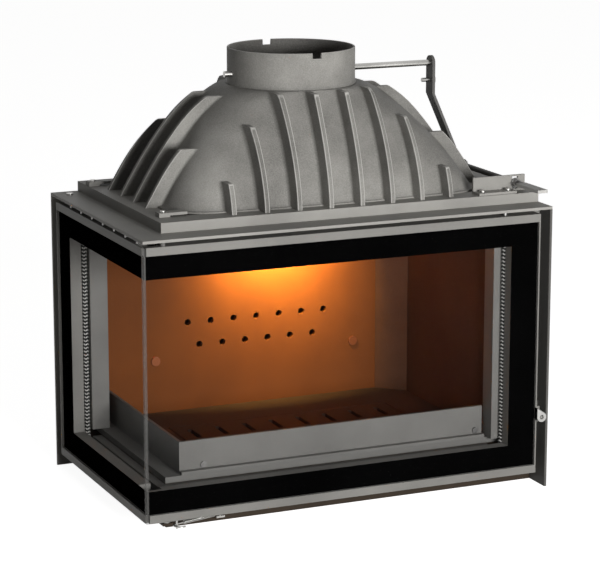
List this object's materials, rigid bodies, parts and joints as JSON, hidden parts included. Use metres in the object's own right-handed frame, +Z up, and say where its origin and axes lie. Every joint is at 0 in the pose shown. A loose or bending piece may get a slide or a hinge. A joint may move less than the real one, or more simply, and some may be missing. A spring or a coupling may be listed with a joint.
{
  "type": "corner fireplace insert",
  "caption": "Corner fireplace insert glazed in front and on the left, with a hinged sprung door, a lined firebox, a ribbed cast smoke dome and a flue collar with a pull-rod damper.",
  "frame": {"origin": "on the floor under the flue axis, in the plane of the base tray's underside", "axes": "+X to the right seen from the front, +Y to the back, +Z up along the flue axis"},
  "size_m": [0.698, 0.46, 0.7135],
  "materials": {
    "casing": "satin heat-resistant grey paint",
    "casting": "finely grained grey paint on a casting",
    "lining": "dark, matt",
    "guard": "satin grey paint",
    "dark_steel": "dark grey paint",
    "bright_steel": "zinc plated",
    "chrome": "polished",
    "pane": "clear heat-resistant glass, black enamel border",
    "rope": "braided glass-fibre rope"
  },
  "bodies": {
    "casing": {"air_wash_front": "casing", "air_wash_rivets": "bright_steel", "air_wash_side": "casing", "ash_pan": "dark_steel", "back_liner": "lining", "back_liner_screws": "bright_steel", "back_panel": "casing", "baffle_plate": "lining", "base_tray": "casing", "bracket_screws": "bright_steel", "corner_liner": "lining", "corner_trim": "casing", "dome_clamp_screws": "bright_steel", "dome_clamps": "casing", "dome_seat_frame": "casing", "door_hinge_pins": "bright_steel", "door_rope_seal": "rope", "door_stop_pin": "bright_steel", "fire_grate": "lining", "flue_collar": "casting", "front_sill": "guard", "hearth_plate": "lining", "hinge_washer": "bright_steel", "latch_keeper": "bright_steel", "left_rear_post": "casing", "log_guard": "guard", "log_guard_screws": "bright_steel", "lower_hinge_arm": "casing", "right_front_post": "casing", "right_liner": "lining", "right_side_panel": "casing", "rod_bracket": "casing", "side_glass": "pane", "side_rope_seal": "rope", "side_window_frame": "casing", "side_window_spacers": "casing", "smoke_dome": "casting", "spring_anchor": "bright_steel", "top_plate": "casing", "top_plate_screw": "bright_steel"},
    "door": {"door_frame": "casing", "door_glass": "pane", "door_spring_pin": "bright_steel"},
    "latch": {"latch_nub": "chrome", "latch_spindle": "bright_steel", "latch_tongue": "bright_steel"},
    "door_spring": {"spring_eye": "bright_steel", "spring_coil": "bright_steel"},
    "door_spring_hook": {"spring_hook": "bright_steel"},
    "damper": {"damper_shaft": "bright_steel", "damper_flap": "lining", "damper_flap_bolts": "bright_steel", "damper_arm": "dark_steel", "arm_screw": "bright_steel", "arm_pin": "bright_steel"},
    "rod": {"pull_rod": "dark_steel", "rod_stop_collar": "bright_steel"}
  },
  "joints": [
    {"name": "door_hinge", "type": "hinge", "parent": "casing", "child": "door", "pos_m": [-0.319, -0.251, 0.241], "axis": [0, 0, -1], "range_deg": [0, 90], "stiffness_Nm_per_rad": 0.15},
    {"name": "latch_turn", "type": "hinge", "parent": "door", "child": "latch", "pos_m": [0.328, -0.242, 0.122], "axis": [0, -1, 0], "range_deg": [0, 90]},
    {"name": "spring_swing", "type": "hinge", "parent": "casing", "child": "door_spring", "pos_m": [-0.217, -0.215, 0.014], "axis": [0, 0, 1], "range_deg": [0, 9.5]},
    {"name": "spring_stretch", "type": "slide", "parent": "door_spring", "child": "door_spring_hook", "axis": [-0.9661, -0.258, 0], "range_m": [0, 0.0245]},
    {"name": "damper_turn", "type": "hinge", "parent": "casing", "child": "damper", "pos_m": [0, 0, 0.6735], "axis": [-1, 0, 0], "range_deg": [0, 25]},
    {"name": "rod_swing", "type": "hinge", "parent": "damper", "child": "rod", "pos_m": [0.315, 0, 0.497], "axis": [1, 0, 0], "range_deg": [0, 31.6]}
  ],
  "couplings": [
    {"joint": "spring_swing", "follows": "door_hinge", "ratio": 0.105},
    {"joint": "spring_stretch", "follows": "door_hinge", "m_per_rad": 0.01547},
    {"joint": "rod_swing", "follows": "damper_turn", "ratio": 1.26}
  ]
}
